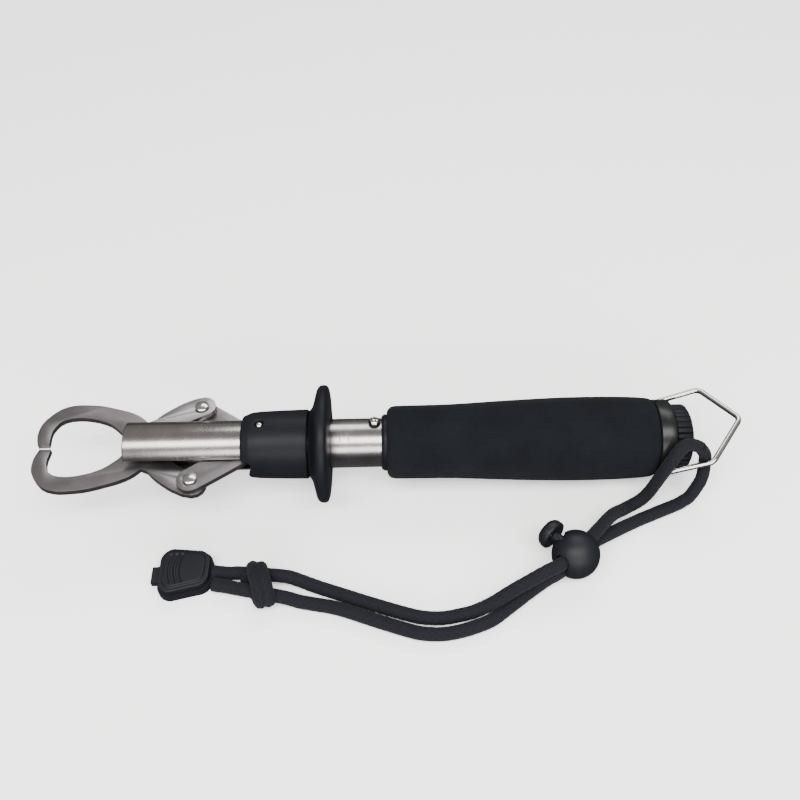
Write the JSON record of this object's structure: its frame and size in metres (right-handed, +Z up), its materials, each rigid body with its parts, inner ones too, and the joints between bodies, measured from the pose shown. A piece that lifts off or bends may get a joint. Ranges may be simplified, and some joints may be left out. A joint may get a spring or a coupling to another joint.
{
  "type": "fishing lip grip",
  "caption": "Fish lip grip with plate jaws, linkage, sliding finger trigger, tubular spring scale, foam handle, wire bail and wrist lanyard.",
  "frame": {"origin": "on the supporting surface, under the middle of the tool without its lanyard", "axes": "+X along the tool from the jaws to the bail, +Y to the side of the right jaw, +Z up; the barrel axis is tipped down towards the bail by 3.12 degrees, as the tool rests on its finger flange and the rear of its grip"},
  "size_m": [0.2721, 0.0975, 0.0455],
  "materials": {
    "satin_steel": "satin stainless plate",
    "brushed_steel": "brushed stainless tube",
    "bright_steel": "bright stainless",
    "spring_steel": "spring wire",
    "brass": "turned",
    "black_nylon": "moulded, matte",
    "black_foam": "EVA foam, matte",
    "black_gloss": "moulded, slightly glossy",
    "grey_plastic": "moulded, semi-matte",
    "black_cord": "braided cord"
  },
  "bodies": {
    "handle": {"handle_core": "brushed_steel", "front_bushing": "black_nylon", "foam_grip": "black_foam", "butt_cap": "black_gloss", "lanyard_strand_left": "black_cord", "lanyard_strand_right": "black_cord", "lanyard_end_left": "black_cord", "lanyard_end_right": "black_cord", "lanyard_knot": "black_cord", "cord_end_base": "grey_plastic", "cord_end_cover": "grey_plastic", "cord_lock_body": "grey_plastic", "cord_lock_spring": "spring_steel"},
    "swivel": {"scale_rod": "bright_steel", "rod_nut": "brass", "thrust_washer": "bright_steel", "scale_spring": "spring_steel"},
    "barrel": {"barrel_tube": "brushed_steel", "jaw_pivot_pin": "bright_steel", "jaw_spacer_upper": "bright_steel", "jaw_spacer_lower": "bright_steel", "stop_screw": "bright_steel", "spring_seat": "brass", "barrel_plug": "brass", "trigger_spring": "spring_steel"},
    "trigger": {"trigger_sleeve": "black_nylon", "finger_flange": "black_nylon", "trigger_pin": "bright_steel", "trigger_slider": "brass"},
    "right_jaw": {"jaw_right": "satin_steel", "link_rivet_right": "bright_steel"},
    "left_jaw": {"jaw_left": "satin_steel", "link_rivet_left": "bright_steel"},
    "right_link": {"link_right": "satin_steel"},
    "left_link": {"link_left": "satin_steel"},
    "knob": {"zero_knob": "black_nylon"},
    "bail": {"bail_wire": "bright_steel", "lanyard_bight": "black_cord"},
    "lock_plunger": {"cord_lock_plunger": "grey_plastic"}
  },
  "joints": [
    {"name": "barrel_swivel", "type": "hinge", "parent": "handle", "child": "swivel", "pos_m": [0.05608, 0, 0.01824], "axis": [0.9985, 0, -0.0544], "continuous": true},
    {"name": "scale_slide", "type": "slide", "parent": "swivel", "child": "barrel", "axis": [-0.9985, 0, 0.0544], "range_m": [0, 0.03], "stiffness_N_per_m": 4900, "springref_m": -0.002, "deforming": ["scale_spring"]},
    {"name": "trigger_slide", "type": "slide", "parent": "barrel", "child": "trigger", "axis": [0.9985, 0, -0.0544], "range_m": [0, 0.0065], "stiffness_N_per_m": 900, "springref_m": -0.008, "deforming": ["trigger_spring"]},
    {"name": "right_jaw_open", "type": "hinge", "parent": "barrel", "child": "right_jaw", "pos_m": [-0.0937, 0, 0.0264], "axis": [-0.0544, 0, -0.9985], "range_deg": [0, 25]},
    {"name": "left_jaw_open", "type": "hinge", "parent": "barrel", "child": "left_jaw", "pos_m": [-0.0937, 0, 0.0264], "axis": [0.0544, 0, 0.9985], "range_deg": [0, 25]},
    {"name": "right_link_turn", "type": "hinge", "parent": "trigger", "child": "right_link", "pos_m": [-0.05076, 0, 0.02406], "axis": [0.0544, 0, 0.9985], "range_deg": [0, 20]},
    {"name": "left_link_turn", "type": "hinge", "parent": "trigger", "child": "left_link", "pos_m": [-0.05076, 0, 0.02406], "axis": [-0.0544, 0, -0.9985], "range_deg": [0, 20]},
    {"name": "zero_knob_turn", "type": "hinge", "parent": "handle", "child": "knob", "pos_m": [0.11249, 0, 0.01517], "axis": [0.9985, 0, -0.0544], "range_deg": [-360, 360]},
    {"name": "bail_swing", "type": "hinge", "parent": "handle", "child": "bail", "pos_m": [0.1058, 0, 0.01553], "axis": [0, 1, 0], "range_deg": [-104, 146], "deforming": ["lanyard_bight"]},
    {"name": "lock_plunger_press", "type": "slide", "parent": "handle", "child": "lock_plunger", "axis": [0.6428, -0.766, 0], "range_m": [0, 0.0018], "stiffness_N_per_m": 900, "springref_m": -0.003, "deforming": ["cord_lock_spring"]}
  ],
  "couplings": [
    {"joint": "right_jaw_open", "follows": "trigger_slide", "rad_per_m": 37.224},
    {"joint": "left_jaw_open", "follows": "trigger_slide", "rad_per_m": 37.224},
    {"joint": "right_link_turn", "follows": "trigger_slide", "rad_per_m": 28.993},
    {"joint": "left_link_turn", "follows": "trigger_slide", "rad_per_m": 28.993}
  ]
}
